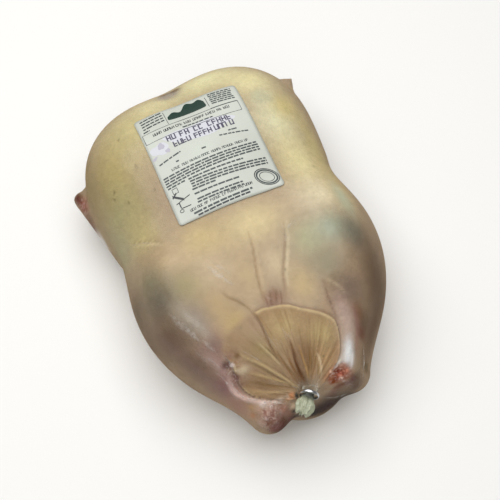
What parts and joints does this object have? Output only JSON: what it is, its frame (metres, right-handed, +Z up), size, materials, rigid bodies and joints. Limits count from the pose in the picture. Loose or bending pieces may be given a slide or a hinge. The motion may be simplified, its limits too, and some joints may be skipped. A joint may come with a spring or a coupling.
{
  "type": "shrink-wrapped whole duck",
  "caption": "Raw whole duck on its back, shrink-wrapped in a clear bag that a wire clip closes at the tail, with a bare-worded paper label.",
  "frame": {"origin": "middle of the pack's box, on the surface that the bird's flat back rests on", "axes": "+X to the right seen from the tail end, +Y from the clipped tail end towards the neck end, +Z up through the breast"},
  "size_m": [0.265, 0.391, 0.1277],
  "materials": {
    "wrapped_duck": "pale yellow poultry skin under tight clear shrink film, wet gloss",
    "clip_aluminium": "bright drawn wire",
    "label_paper": null
  },
  "bodies": {
    "root": {"bagged_duck": "wrapped_duck", "clip": "clip_aluminium", "label": "label_paper"}
  },
  "joints": []
}
